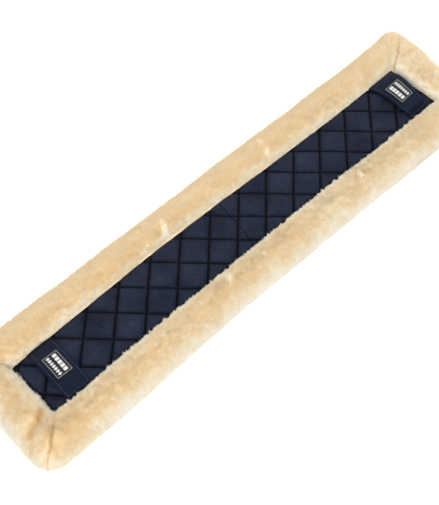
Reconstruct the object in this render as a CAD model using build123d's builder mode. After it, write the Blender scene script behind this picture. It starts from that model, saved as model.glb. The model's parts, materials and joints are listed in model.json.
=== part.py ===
"""Fleece girth sleeve: a soft quilted pad that slides onto a saddle girth.

A long strip of lambskin pile lies underneath, is wrapped round a foam core and is rolled over all
four edges onto the top, where it frames a quilted twill panel.  Two bands across the panel, the
keepers, hold the girth, and each carries a woven label.

The strip bends across its width along three lines, so it is four segments that hinge on each
other.  Wedges are left open at each bend line so that the segments clear each other.

Frame, in millimetres: origin at the centre of the rest plane, +X along the strip, +Y across it,
+Z up from the fleece to the quilted panel.
"""
import os
from math import ceil, radians, sqrt, tan

from build123d import *

os.makedirs("parts", exist_ok=True)

# Panel and border
QUILT_SQUARE = 35.0
PANEL_LENGTH = 652.0
PANEL_WIDTH = 76.0
BORDER = 56.0
CORNER_RADIUS = 26.0
LENGTH = PANEL_LENGTH + 2 * BORDER
WIDTH = PANEL_WIDTH + 2 * BORDER

# Layers, from the rest plane up
PILE = 14.0
CORE = 10.0
LINING = 0.6
WADDING = 4.6
FACE = 0.8
THREAD = 0.4
LINING_FLOOR = PILE + CORE
WADDING_FLOOR = LINING_FLOOR + LINING
FACE_FLOOR = WADDING_FLOOR + WADDING
PANEL_TOP = FACE_FLOOR + FACE
TRIM_FLOOR = PANEL_TOP + THREAD

# Section of the rolled border, as distances outward from the panel's edge
ROLL_LIP_RISE = 1.0
ROLL_LIP_HEIGHT = PANEL_TOP + ROLL_LIP_RISE
ROLL_CREST = 26.0
ROLL_CREST_HEIGHT = 46.0
ROLL_HEEL = 38.0
ROLL_EDGE_HEIGHT = 19.0
CORE_REACH = 36.0

# Bend lines across the strip
BEND_LINES = (-190.0, 0.0, 190.0)
BEND_HEIGHT = 22.0
WRAP_ANGLE = 45.0
REVERSE_ANGLE = 30.0
BEND_CLEARANCE = 1.5
CUT_MARGIN = 1.0

# Quilting
QUILT_PITCH = QUILT_SQUARE * sqrt(2)
QUILT_ROW = 13.0
QUILT_THREAD_WIDTH = 0.8
QUILT_INSET = 0.5

# Seams and trim
MITRE_SEAM = 0.8
MITRE_SINK = 1.5
EDGE_SEAM_INSET = 1.8
EDGE_SEAM_WIDTH = 0.7
CENTRE_SEAM_X = -11.5
CENTRE_SEAM_SLANT = 8.0
STITCH_PITCH = 5.0
STITCH_LENGTH = 3.2
STITCH_WIDTH = 0.6

# Keepers and labels
KEEPER_WIDTH = 32.0
KEEPER_THICK = 1.8
KEEPER_INSET = 2.6
KEEPER_REACH = PANEL_WIDTH / 2 - KEEPER_INSET
KEEPER_FOOT = 5.5
KEEPER_RAMP = 7.0
KEEPER_BEND = 3.5
LABEL_WIDTH = 22.0
LABEL_LENGTH = 33.0
LABEL_THICK = 0.7
LABEL_SHIFT = 3.5
LABEL_FRAME_INSET = 1.2
LABEL_FRAME_WIDTH = 0.7
KEEPERS = {"left_end": (-290.5, 7.0), "right_end": (292.0, 10.0)}


def side_view(low_bend, high_bend):
    """A segment from the side, its faces sloping back above and below the bend height."""
    with BuildSketch() as view:
        with BuildLine():
            Polyline(face_points(low_bend, 1) + face_points(high_bend, -1)[::-1], close=True)
        make_face()
    return view.sketch


def face_points(bend, inward):
    """The outline of a segment's end face, bottom to top; an outer end is plain."""
    low, high = -CUT_MARGIN, ROLL_CREST_HEIGHT + CUT_MARGIN
    if bend not in BEND_LINES:
        return [(bend, low), (bend, high)]
    nearest = bend + inward * BEND_CLEARANCE / 2
    return [
        (nearest + inward * (BEND_HEIGHT - low) * tan(radians(WRAP_ANGLE / 2)), low),
        (nearest, BEND_HEIGHT),
        (nearest + inward * (high - BEND_HEIGHT) * tan(radians(REVERSE_ANGLE / 2)), high),
    ]


ends = (-LENGTH / 2, *BEND_LINES, LENGTH / 2)
names = ("left_end", "left_mid", "right_mid", "right_end")
SEGMENTS = {name: (ends[i], ends[i + 1]) for i, name in enumerate(names)}
SIDE_VIEWS = {name: side_view(*span) for name, span in SEGMENTS.items()}

# The border's section, its panel edge at x = 0, with the slot that takes the core's edge
with BuildSketch() as roll_section:
    with BuildLine():
        heel = Line((0, 0), (ROLL_HEEL, 0))
        outer = TangentArc(heel @ 1, (BORDER, ROLL_EDGE_HEIGHT), tangent=heel % 1)
        crown = TangentArc(outer @ 1, (ROLL_CREST, ROLL_CREST_HEIGHT), tangent=outer % 1)
        lip = TangentArc(crown @ 1, (0, ROLL_LIP_HEIGHT), tangent=crown % 1)
        Line(lip @ 1, heel @ 0)
    make_face()
    with Locations((0, PILE)):
        Rectangle(CORE_REACH, CORE, align=Align.MIN, mode=Mode.SUBTRACT)

# The seam allowance in a mitre: the same section without the slot, sunk below the pile
with BuildSketch() as seam_section:
    add(roll_section.sketch.faces()[0].outer_wire())
    make_face()
    with Locations((0, PILE)):
        Rectangle(CORE_REACH, CORE, align=Align.MIN)
    offset(amount=-MITRE_SINK)
    with Locations((0, PILE)):
        Rectangle(CORE_REACH, CORE, align=Align.MIN, mode=Mode.SUBTRACT)


def finish(part, name):
    """Label a finished piece and write its file."""
    part.label = name
    export_step(part, f"parts/{name}.step")


# Side borders: the fleece rolled over the two long edges, mitred at the corners
MITRE_START = (PANEL_LENGTH - PANEL_WIDTH) / 2
MITRE_SLACK = MITRE_SEAM / sqrt(2)
with BuildSketch() as side_border_plan:
    with BuildLine():
        Polyline(
            (-MITRE_START + MITRE_SLACK, 0),
            (MITRE_START - MITRE_SLACK, 0),
            (MITRE_START - MITRE_SLACK + WIDTH, WIDTH),
            (-MITRE_START + MITRE_SLACK - WIDTH, WIDTH),
            close=True,
        )
    make_face()
    mirror(about=Plane.XZ)
    RectangleRounded(LENGTH, WIDTH, CORNER_RADIUS, mode=Mode.INTERSECT)

for segment, (start, end) in SEGMENTS.items():
    for side, away in (("front", -1), ("rear", 1)):
        with BuildPart() as side_roll:
            with BuildSketch(Plane.YZ.offset(start)):
                with Locations((PANEL_WIDTH / 2, 0)):
                    add(roll_section.sketch)
                if away < 0:
                    mirror(about=Plane.YZ, mode=Mode.REPLACE)
            extrude(amount=end - start)
            with BuildSketch(Plane.XZ):
                add(SIDE_VIEWS[segment])
            extrude(amount=WIDTH, both=True, mode=Mode.INTERSECT)
            with BuildSketch():
                add(side_border_plan.sketch)
            extrude(amount=ROLL_CREST_HEIGHT + CUT_MARGIN, mode=Mode.INTERSECT)
        finish(side_roll.part, f"fleece_roll_{side}_{segment}")

# End borders and the four mitre seams
for segment, away in (("left_end", -1), ("right_end", 1)):
    with BuildPart() as end_roll:
        with BuildSketch(Plane.XZ.offset(-WIDTH / 2)):
            with Locations((PANEL_LENGTH / 2, 0)):
                add(roll_section.sketch)
            if away < 0:
                mirror(about=Plane.YZ, mode=Mode.REPLACE)
        extrude(amount=WIDTH)
        with BuildSketch():
            with BuildLine():
                Polyline(
                    (away * (MITRE_START + MITRE_SLACK), 0),
                    (away * (MITRE_START + MITRE_SLACK + WIDTH), WIDTH),
                    (away * (MITRE_START + MITRE_SLACK + WIDTH), -WIDTH),
                    close=True,
                )
            make_face()
            RectangleRounded(LENGTH, WIDTH, CORNER_RADIUS, mode=Mode.INTERSECT)
        extrude(amount=ROLL_CREST_HEIGHT + CUT_MARGIN, mode=Mode.INTERSECT)
    finish(end_roll.part, f"fleece_roll_end_{segment}")

    for side, across in (("front", -1), ("rear", 1)):
        with BuildPart() as mitre_seam:
            with BuildSketch(Plane.YZ.offset(away * MITRE_START)):
                with Locations((PANEL_WIDTH / 2, 0)):
                    add(seam_section.sketch)
                if across < 0:
                    mirror(about=Plane.YZ, mode=Mode.REPLACE)
            extrude(amount=away * WIDTH)
            with BuildSketch():
                with BuildLine():
                    Polyline(
                        (away * (MITRE_START - MITRE_SLACK), 0),
                        (away * (MITRE_START + MITRE_SLACK), 0),
                        (away * (MITRE_START + MITRE_SLACK + WIDTH), across * WIDTH),
                        (away * (MITRE_START - MITRE_SLACK + WIDTH), across * WIDTH),
                        close=True,
                    )
                make_face()
                RectangleRounded(
                    LENGTH - 2 * MITRE_SINK, WIDTH - 2 * MITRE_SINK, CORNER_RADIUS,
                    mode=Mode.INTERSECT,
                )
            extrude(amount=ROLL_CREST_HEIGHT, mode=Mode.INTERSECT)
        finish(mitre_seam.part, f"mitre_seam_{side}_{segment}")

# Layers under and in the quilted panel, from the pile up to the twill face
LAYERS = (
    ("fleece_underside", 0, PILE, 0),
    ("core_foam", PILE, CORE, CORE_REACH),
    ("quilt_lining", LINING_FLOOR, LINING, 0),
    ("quilt_wadding", WADDING_FLOOR, WADDING, 0),
    ("quilt_face", FACE_FLOOR, FACE, 0),
)
for layer, floor, thickness, reach in LAYERS:
    for segment in SEGMENTS:
        with BuildPart() as sheet:
            with BuildSketch(Plane.XY.offset(floor)):
                Rectangle(PANEL_LENGTH + 2 * reach, PANEL_WIDTH + 2 * reach)
            extrude(amount=thickness)
            with BuildSketch(Plane.XZ):
                add(SIDE_VIEWS[segment])
            extrude(amount=WIDTH, both=True, mode=Mode.INTERSECT)
        finish(sheet.part, f"{layer}_{segment}")

# Quilting thread: lines at 45 degrees both ways that cross in rows, one crossing at x = 0
QUILT_COUNT = 2 * ceil((PANEL_LENGTH / 2 + PANEL_WIDTH) / QUILT_PITCH) + 1
with BuildSketch(Plane.XY.offset(PANEL_TOP)) as quilting_lines:
    with Locations((0, QUILT_ROW)):
        with GridLocations(QUILT_PITCH, 0, QUILT_COUNT, 1):
            Rectangle(2 * WIDTH, QUILT_THREAD_WIDTH, rotation=45)
            Rectangle(2 * WIDTH, QUILT_THREAD_WIDTH, rotation=-45)
    Rectangle(
        PANEL_LENGTH - 2 * QUILT_INSET, PANEL_WIDTH - 2 * QUILT_INSET, mode=Mode.INTERSECT
    )

# The running seam that holds the fleece's lip to the panel's edge
with BuildSketch(Plane.XY.offset(TRIM_FLOOR)) as edge_seam:
    seam_length = PANEL_LENGTH - 2 * (EDGE_SEAM_INSET - EDGE_SEAM_WIDTH / 2)
    seam_width = PANEL_WIDTH - 2 * (EDGE_SEAM_INSET - EDGE_SEAM_WIDTH / 2)
    Rectangle(seam_length, seam_width)
    Rectangle(
        seam_length - 2 * EDGE_SEAM_WIDTH, seam_width - 2 * EDGE_SEAM_WIDTH, mode=Mode.SUBTRACT
    )

for segment in SEGMENTS:
    for lines, name in ((quilting_lines, "quilting_thread"), (edge_seam, "edge_stitching")):
        with BuildPart() as threads:
            add(lines.sketch)
            extrude(amount=THREAD)
            with BuildSketch(Plane.XZ):
                add(SIDE_VIEWS[segment])
            extrude(amount=WIDTH, both=True, mode=Mode.INTERSECT)
        finish(threads.part, f"{name}_{segment}")

# Centre seam: a slanting row of stitches beside the middle bend line
with BuildPart() as centre_seam:
    stitch_count = int((PANEL_WIDTH - 2 * EDGE_SEAM_INSET) / STITCH_PITCH) - 1
    seam_plane = Plane(origin=(CENTRE_SEAM_X, 0, TRIM_FLOOR)).rotated((0, 0, -CENTRE_SEAM_SLANT))
    with BuildSketch(seam_plane):
        with GridLocations(0, STITCH_PITCH, 1, stitch_count):
            SlotOverall(STITCH_LENGTH, STITCH_WIDTH, rotation=90)
    extrude(amount=THREAD)
finish(centre_seam.part, "centre_seam_stitches")

# Keepers, their stitching and their labels
for segment, (keeper_x, rise) in KEEPERS.items():
    middle = TRIM_FLOOR + KEEPER_THICK / 2
    toe, knee = KEEPER_REACH - KEEPER_FOOT, KEEPER_REACH - KEEPER_FOOT - KEEPER_RAMP
    keeper_top = TRIM_FLOOR + rise + KEEPER_THICK
    label_top = keeper_top + LABEL_THICK

    with BuildPart() as keeper:
        with BuildSketch(Plane.YZ.offset(keeper_x - KEEPER_WIDTH / 2)):
            with BuildLine():
                FilletPolyline(
                    (-KEEPER_REACH, middle),
                    (-toe, middle),
                    (-knee, middle + rise),
                    (knee, middle + rise),
                    (toe, middle),
                    (KEEPER_REACH, middle),
                    radius=KEEPER_BEND,
                )
            trace(line_width=KEEPER_THICK)
        extrude(amount=KEEPER_WIDTH)
    finish(keeper.part, f"keeper_band_{segment}")

    with BuildPart() as label:
        with BuildSketch(Plane((keeper_x, LABEL_SHIFT, keeper_top))):
            Rectangle(LABEL_WIDTH, LABEL_LENGTH)
        extrude(amount=LABEL_THICK)
    finish(label.part, f"woven_label_{segment}")

    with BuildPart() as label_border:
        with BuildSketch(Plane((keeper_x, LABEL_SHIFT, label_top))):
            frame_width = LABEL_WIDTH - 2 * LABEL_FRAME_INSET
            frame_length = LABEL_LENGTH - 2 * LABEL_FRAME_INSET
            Rectangle(frame_width, frame_length)
            Rectangle(
                frame_width - 2 * LABEL_FRAME_WIDTH,
                frame_length - 2 * LABEL_FRAME_WIDTH,
                mode=Mode.SUBTRACT,
            )
        extrude(amount=THREAD)
    finish(label_border.part, f"label_border_{segment}")

    with BuildPart() as keeper_stitching:
        foot_top = TRIM_FLOOR + KEEPER_THICK
        seam_y = KEEPER_REACH - KEEPER_FOOT / 2
        with BuildSketch(Plane((keeper_x, 0, foot_top))):
            with GridLocations(0, 2 * seam_y, 1, 2):
                with GridLocations(STITCH_PITCH, 0, int(KEEPER_WIDTH / STITCH_PITCH), 1):
                    SlotOverall(STITCH_LENGTH, STITCH_WIDTH)
        extrude(amount=THREAD)
    finish(keeper_stitching.part, f"keeper_stitching_{segment}")
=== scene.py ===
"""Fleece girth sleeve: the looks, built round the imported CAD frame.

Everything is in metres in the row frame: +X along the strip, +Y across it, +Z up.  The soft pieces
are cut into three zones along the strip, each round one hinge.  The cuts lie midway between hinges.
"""
import json
import math

import bpy
import numpy as np
from mathutils import Matrix, Vector


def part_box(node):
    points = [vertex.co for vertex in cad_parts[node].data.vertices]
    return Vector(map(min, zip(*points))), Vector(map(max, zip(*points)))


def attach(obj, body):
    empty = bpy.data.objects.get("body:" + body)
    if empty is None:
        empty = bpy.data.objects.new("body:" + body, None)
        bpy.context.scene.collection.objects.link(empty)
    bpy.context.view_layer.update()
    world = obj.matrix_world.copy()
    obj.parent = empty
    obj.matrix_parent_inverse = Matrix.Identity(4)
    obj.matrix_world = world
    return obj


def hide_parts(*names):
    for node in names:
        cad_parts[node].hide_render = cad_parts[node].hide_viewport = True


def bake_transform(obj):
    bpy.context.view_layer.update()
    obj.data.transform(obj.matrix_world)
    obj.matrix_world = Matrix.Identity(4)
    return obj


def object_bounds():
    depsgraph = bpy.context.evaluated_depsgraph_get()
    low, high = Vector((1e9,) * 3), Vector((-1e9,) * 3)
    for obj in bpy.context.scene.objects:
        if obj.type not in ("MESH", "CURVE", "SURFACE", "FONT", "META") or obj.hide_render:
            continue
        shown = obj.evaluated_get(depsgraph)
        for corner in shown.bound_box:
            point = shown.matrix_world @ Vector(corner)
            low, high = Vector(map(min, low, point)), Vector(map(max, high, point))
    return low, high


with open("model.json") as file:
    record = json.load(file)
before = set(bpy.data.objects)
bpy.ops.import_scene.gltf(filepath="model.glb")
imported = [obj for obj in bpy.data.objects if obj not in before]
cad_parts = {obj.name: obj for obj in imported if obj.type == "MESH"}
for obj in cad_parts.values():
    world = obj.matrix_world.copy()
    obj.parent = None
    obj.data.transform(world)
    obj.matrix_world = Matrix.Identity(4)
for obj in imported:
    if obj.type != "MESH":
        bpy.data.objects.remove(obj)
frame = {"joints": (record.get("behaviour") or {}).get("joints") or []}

CAD_LOW, CAD_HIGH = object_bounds()
MM = 0.001

# ------------ places read from the frame
HALF_LENGTH = CAD_HIGH.x
PANEL_X = -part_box("quilt_face_left_end")[0].x
PANEL_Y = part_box("quilt_face_left_end")[1].y
PANEL_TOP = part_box("quilt_face_left_end")[1].z
# The right hinge's place; the left one mirrors it, and the centre one is at x = 0
BEND_X, _, BEND_HEIGHT = {joint["child"]: joint for joint in frame["joints"]}["right_end"]["pos_m"]
CUT_X = BEND_X / 2
CUT_SLACK = 1e-7

ZONES = {
    "left": {"span": (-HALF_LENGTH, -CUT_X), "bodies": ("left_end", "left_mid"), "bend": -BEND_X},
    "centre": {"span": (-CUT_X, CUT_X), "bodies": ("left_mid", "right_mid"), "bend": 0.0},
    "right": {"span": (CUT_X, HALF_LENGTH), "bodies": ("right_mid", "right_end"), "bend": BEND_X},
}

# ------------ quilting, keepers and labels
QUILT_SQUARE = 35 * MM
QUILT_ROW = 13 * MM
PUCKERS_PER_SQUARE = 6.5
GROOVE_FLOOR = PANEL_TOP - 3.0 * MM
PUFF = 4.6 * MM
GROOVE_WIDTH = 2.3 * MM
SEAM_TOP_X, SEAM_FOOT_X = -5.6 * MM, -17 * MM
# How far the foam and the layers on it stand in from the panel's edge, and the gap between layers
FOAM_INSET, LAYER_INSET = 6 * MM, 9 * MM
LAYER_GAP = 0.05 * MM

KEEPER_THICK = 1.8 * MM
KEEPER_REACH = PANEL_Y + 2 * MM
KEEPER_HEM = 2.6 * MM
# Each band: which way its end of the strip lies, how high it arches at its inner and outer edge, how
# far its outer edge flares out towards the rear, and where across the strip a tuck pinches it
KEEPERS = {
    "left_end": {"sign": -1, "rise": (6.0 * MM, 8.0 * MM), "flare": 0.0, "tuck": 33.5 * MM},
    "right_end": {"sign": 1, "rise": (7.0 * MM, 13.0 * MM), "flare": 9 * MM, "tuck": -29 * MM},
}

# ------------ pile
PILE_LENGTH = 8.5 * MM
PILE_PER_MM2 = 1.5
UNDER_PILE_PER_MM2 = 0.4
ROOT_SINK = 1.0 * MM
FLOOR_GAP = 0.2 * MM


# ============ small mathematical helpers
def smoothstep(low, high, x):
    """0 up to `low`, 1 from `high`, and a soft step between them."""
    t = np.clip((x - low) / (high - low), 0, 1)
    return t * t * (3 - 2 * t)


def fade(gap, width):
    """1 where there is no gap, falling to 0 where the gap is well past the width."""
    return np.exp(-(gap / width) ** 2)


def noise(points, size, seed):
    """Smooth noise from -1 to 1 whose features are about `size` across."""
    table = np.random.default_rng(seed).uniform(-1, 1, (32, 32, 32))
    grid = np.asarray(points) / size + 1000.5
    cell = np.floor(grid).astype(int)
    f = grid - cell
    f = f * f * (3 - 2 * f)
    total = np.zeros(f.shape[:-1])
    for corner in np.ndindex(2, 2, 2):
        weight = np.ones(f.shape[:-1])
        for axis in range(3):
            weight = weight * (f[..., axis] if corner[axis] else 1 - f[..., axis])
        i, j, k = (np.moveaxis(cell, -1, 0) + np.reshape(corner, (3,) + (1,) * (cell.ndim - 1))) % 32
        total += weight * table[i, j, k]
    return total


def plan_noise(x, y, size, seed):
    """Smooth noise over the plan."""
    x, y = np.broadcast_arrays(x, y)
    return noise(np.stack([x, y, np.zeros_like(x)], -1), size, seed)


def unit(v):
    return v / np.maximum(np.linalg.norm(v, axis=-1, keepdims=True), 1e-12)


def spline(points, count):
    """A Catmull-Rom curve through the points, as `count` places evenly spaced along it."""
    p = np.array(points, float)
    p = np.vstack([2 * p[0] - p[1], p, 2 * p[-1] - p[-2]])
    t = np.linspace(0, 1, 24, endpoint=False)[:, None]
    runs = []
    for a, b, c, d in zip(p, p[1:], p[2:], p[3:]):
        runs.append(b + 0.5 * t * (c - a + t * (2 * a - 5 * b + 4 * c - d + t * (3 * (b - c) + d - a))))
    curve = np.vstack(runs + [p[-2:-1]])
    travelled = np.concatenate([[0], np.cumsum(np.linalg.norm(np.diff(curve, axis=0), axis=1))])
    at = np.linspace(0, travelled[-1], count)
    return np.stack([np.interp(at, travelled, curve[:, k]) for k in range(2)], -1)


# ============ mesh helpers
def new_mesh(name, verts, faces):
    """A smooth mesh object from arrays of vertices and faces, with one number of corners to a face."""
    faces = np.asarray(faces, np.int32)
    sides = faces.shape[1]
    mesh = bpy.data.meshes.new(name)
    mesh.vertices.add(len(verts))
    mesh.vertices.foreach_set("co", np.asarray(verts, np.float32).ravel())
    mesh.loops.add(faces.size)
    mesh.loops.foreach_set("vertex_index", faces.ravel())
    mesh.polygons.add(len(faces))
    mesh.polygons.foreach_set("loop_start", np.arange(0, faces.size, sides, dtype=np.int32))
    mesh.polygons.foreach_set("use_smooth", np.full(len(faces), True))
    mesh.update(calc_edges=True)
    return new_object(name, mesh)


def new_object(name, data):
    obj = bpy.data.objects.new(name, data)
    bpy.context.scene.collection.objects.link(obj)
    return obj


def copies(name, verts, faces):
    """A mesh of many small shapes with the same faces, from the corners of each."""
    starts = np.arange(len(verts)) * verts.shape[1]
    every = starts[:, None, None] + np.array(faces)[None]
    return new_mesh(name, verts.reshape(-1, 3), every.reshape(-1, 3))


def plan_grid(x, y):
    """Grids of x and y, with a row for each x and a column for each y."""
    return np.meshgrid(x, y, indexing="ij")


def grid_faces(rows, columns, start=0, flip=False):
    """Quads of a rows x columns grid of vertices numbered from `start`."""
    index = start + np.arange(rows * columns).reshape(rows, columns)
    corners = index[:-1, :-1], index[1:, :-1], index[1:, 1:], index[:-1, 1:]
    quads = np.stack(corners, -1).reshape(-1, 4)
    return quads[:, ::-1] if flip else quads


def solid_between(name, top, bottom):
    """A closed solid between two grids of points, with walls of their own round the edge."""
    rows, columns = top.shape[:2]
    count = rows * columns
    faces = [grid_faces(rows, columns), grid_faces(rows, columns, count, flip=True)]
    verts = [top.reshape(-1, 3), bottom.reshape(-1, 3)]
    used = 2 * count
    edges = (
        (top[0], bottom[0], False),
        (top[-1], bottom[-1], True),
        (top[:, 0], bottom[:, 0], True),
        (top[:, -1], bottom[:, -1], False),
    )
    for upper, lower, flip in edges:
        verts += [upper, lower]
        faces.append(grid_faces(2, len(upper), used, flip))
        used += 2 * len(upper)
    return new_mesh(name, np.vstack(verts), np.vstack(faces))


def stitches(name, places, directions, ups, size):
    """One short rounded stitch at each place, lying along its direction."""
    along, up = unit(directions), unit(ups)
    side = unit(np.cross(up, along))
    shape = np.array([
        (-0.5, 0, -0.6), (-0.28, 0.5, 0), (-0.28, -0.5, 0), (-0.2, 0, 1),
        (0.28, 0.5, 0), (0.28, -0.5, 0), (0.2, 0, 1), (0.5, 0, -0.6), (0, 0, -0.8),
    ])
    scaled = shape * size
    verts = places[:, None]
    for k, axis in enumerate((along, side, up)):
        verts = verts + scaled[:, k:k + 1] * axis[:, None]
    return copies(name, verts, [
        (0, 3, 1), (0, 2, 3), (1, 3, 6), (1, 6, 4), (2, 5, 6), (2, 6, 3),
        (4, 6, 7), (5, 7, 6), (0, 1, 8), (0, 8, 2), (1, 4, 8), (4, 7, 8), (5, 8, 7), (2, 8, 5),
    ])


def in_zone(x, zone):
    low, high = ZONES[zone]["span"]
    return (x >= low - CUT_SLACK) & (x < high)


# ============ materials
class Shader:
    """A short way to write a node tree round one Principled shader."""

    def __init__(self, name):
        self.material = bpy.data.materials.new(name)
        self.material.use_nodes = True
        self.tree = self.material.node_tree
        self.shader = self.tree.nodes["Principled BSDF"]
        self.place = self.node("ShaderNodeTexCoord").outputs["Object"]

    def node(self, kind, **inputs):
        made = self.tree.nodes.new(kind)
        for name, value in inputs.items():
            self.set(made, name, value)
        return made

    def set(self, node, name, value):
        """Link or set an input; a colour is given as red, green and blue."""
        socket = node.inputs[name.replace("_", " ") if isinstance(name, str) else name]
        if isinstance(value, bpy.types.NodeSocket):
            self.tree.links.new(value, socket)
        else:
            socket.default_value = (*value, 1) if socket.type == "RGBA" else value

    def value(self, name):
        """A value stored on the mesh's points."""
        made = self.node("ShaderNodeAttribute")
        made.attribute_name = name
        return made.outputs["Fac"]

    def noise(self, scale, detail, roughness, place=None):
        made = self.node("ShaderNodeTexNoise", Scale=scale, Detail=detail, Roughness=roughness)
        self.set(made, "Vector", place or self.place)
        return made.outputs["Fac"]

    def stretched(self, x, y, z):
        """The object's place, scaled along each axis, for noise that runs one way."""
        made = self.node("ShaderNodeMapping", Vector=self.place)
        made.inputs["Scale"].default_value = (x, y, z)
        return made.outputs["Vector"]

    def math(self, operation, a, b=0.0, c=0.0):
        made = self.node("ShaderNodeMath")
        made.operation = operation
        for i, value in enumerate((a, b, c)):
            self.set(made, i, value)
        return made.outputs[0]

    def waves(self, place, pitch):
        """Sine waves so far apart."""
        return self.math("SINE", self.math("MULTIPLY", place, 2 * math.pi / pitch))

    def ramp(self, factor, *stops):
        made = self.node("ShaderNodeValToRGB", Fac=factor)
        elements = made.color_ramp.elements
        while len(elements) < len(stops):
            elements.new(0.5)
        for element, (at, colour) in zip(elements, stops):
            element.position = at
            element.color = (*colour, 1)
        return made.outputs["Color"]

    def multiply(self, a, b):
        """One colour times another."""
        made = self.node("ShaderNodeMix")
        made.data_type = "RGBA"
        made.blend_type = "MULTIPLY"
        for i, value in ((0, 1.0), (6, a), (7, b)):
            self.set(made, i, value)
        return made.outputs[2]

    def bump(self, height, strength, distance):
        made = self.node("ShaderNodeBump", Strength=strength, Distance=distance, Height=height)
        self.set(self.shader, "Normal", made.outputs["Normal"])

    def surface(self, **values):
        for name, value in values.items():
            self.set(self.shader, name, value)
        return self.material


def grey(value):
    return (value, value, value)


def pile_material():
    s = Shader("lambskin_pile")
    streaks = s.noise(1.0, 3.0, 0.6, s.stretched(130, 70, 90))
    tufts = s.math("MULTIPLY", s.noise(430, 2.0, 0.7), 0.9)
    mottled = s.math("MULTIPLY_ADD", streaks, 0.4, tufts)
    pale = s.math("ADD", mottled, s.math("SUBTRACT", s.value("paleness"), 0.65))
    colour = s.ramp(
        pale, (0.0, (0.81, 0.63, 0.39)), (0.35, (0.865, 0.737, 0.513)), (1.0, (0.94, 0.88, 0.758)))
    # Painted shade in the creases and mitre grooves: the pile turns brown where it is pressed in.
    painted_fold_shade = s.ramp(s.value("folded"), (0.0, grey(1.0)), (1.0, (0.80, 0.60, 0.36)))
    colour = s.multiply(colour, painted_fold_shade)
    # Darker towards the roots: the pile's honey roots, deepened by painted shade deep in the pile.
    roots = s.ramp(s.value("pile_depth"), (0.0, (0.86, 0.72, 0.54)), (0.6, grey(1.0)))
    colour = s.multiply(colour, roots)
    s.bump(s.noise(1400, 2.0, 0.6), 0.3, 0.0005)
    return s.surface(
        Base_Color=colour, Roughness=0.9, Sheen_Weight=0.12, Sheen_Roughness=0.5,
        Sheen_Tint=(1.0, 0.88, 0.70), Specular_IOR_Level=0.06,
    )


def textured(s, texture, low, high, strength, depth, **values):
    """A surface whose colour and bump both follow one texture, from the low stop to the high one."""
    colour = s.ramp(texture, low, high)
    s.bump(texture, strength, depth)
    return s.surface(Base_Color=colour, **values)


def backing_material():
    s = Shader("pile_backing")
    low, high = (0.35, (0.50, 0.32, 0.14)), (0.65, (0.66, 0.46, 0.24))
    return textured(
        s, s.noise(900, 2.0, 0.6), low, high, 0.5, 0.0004, Roughness=0.95, Specular_IOR_Level=0.1)


def twill(s, pitch, direction):
    """Height of fine diagonal twill ribs, `pitch` apart, from 0 to 1."""
    parts = s.node("ShaderNodeSeparateXYZ", Vector=s.place)
    across = s.math("ADD", parts.outputs["X"], s.math("MULTIPLY", parts.outputs["Y"], direction))
    ribs = s.waves(across, pitch * math.sqrt(1 + direction ** 2))
    yarn = s.waves(parts.outputs["Y"], pitch * 0.9)
    both = s.math("MULTIPLY_ADD", yarn, 0.25, ribs)
    return s.math("MULTIPLY_ADD", both, 0.4, 0.5)


def navy_material(name, dark, light, pitch, direction, roughness, sheen, sunken=False):
    s = Shader(name)
    ribs = twill(s, pitch, direction)
    clouds = s.noise(28, 3.0, 0.55)
    slubs = s.noise(1.0, 2.0, 0.5, s.stretched(120, 900, 300))
    tone = s.math("MULTIPLY_ADD", clouds, 0.55, s.math("MULTIPLY", slubs, 0.25))
    tone = s.math("MULTIPLY_ADD", ribs, 0.18, tone)
    tone = s.math("MULTIPLY_ADD", s.noise(420, 2.0, 0.7), 0.5, s.math("SUBTRACT", tone, 0.25))
    colour = s.ramp(tone, (0.30, dark), (0.72, light))
    # Painted shade from the mesh's sunken value: darker in the quilting lines, along the panel's rim under
    # the fleece's lip, in the centre seam, and at and beyond a keeper's tuck.
    if sunken:
        shade = s.ramp(s.value("sunken"), (0.0, grey(1.0)), (1.0, grey(0.02)))
        colour = s.multiply(colour, shade)
    rough = s.math("MULTIPLY_ADD", slubs, 0.16, roughness - 0.08)
    s.bump(ribs, 0.45, 0.0002)
    return s.surface(
        Base_Color=colour, Roughness=rough, Sheen_Weight=sheen, Sheen_Roughness=0.5,
        Sheen_Tint=(0.55, 0.64, 1.0), Specular_IOR_Level=0.05, Specular_Tint=(0.75, 0.82, 1.0),
    )


def thread_material(name, dark, light, roughness=0.6, specular=0.1):
    s = Shader(name)
    return textured(
        s, s.noise(2600, 1.0, 0.5), (0.35, dark), (0.65, light), 0.4, 0.0001,
        Roughness=roughness, Specular_IOR_Level=specular)


def foam_material():
    s = Shader("foam")
    cells = s.node("ShaderNodeTexVoronoi", Scale=1500, Vector=s.place).outputs["Distance"]
    low, high = (0.1, (0.62, 0.60, 0.52)), (0.6, (0.82, 0.80, 0.73))
    return textured(s, cells, low, high, 0.6, 0.0004, Roughness=0.95)


def wadding_material():
    s = Shader("wadding")
    fibres = s.noise(1.0, 4.0, 0.7, s.stretched(300, 1400, 900))
    low, high = (0.35, (0.70, 0.70, 0.69)), (0.65, (0.93, 0.93, 0.92))
    return textured(s, fibres, low, high, 0.6, 0.0006, Roughness=0.95)


def label_material():
    s = Shader("woven_label")
    parts = s.node("ShaderNodeSeparateXYZ", Vector=s.place)
    weft, warp = (s.waves(parts.outputs[axis], pitch) for axis, pitch in (("X", 0.00042), ("Y", 0.00036)))
    weave = s.math("MULTIPLY_ADD", s.math("MULTIPLY", weft, warp), 0.5, 0.5)
    low, high = (0.2, (0.006, 0.006, 0.008)), (0.8, (0.020, 0.021, 0.026))
    return textured(s, weave, low, high, 0.5, 0.0001, Roughness=0.6, Specular_IOR_Level=0.12)


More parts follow.
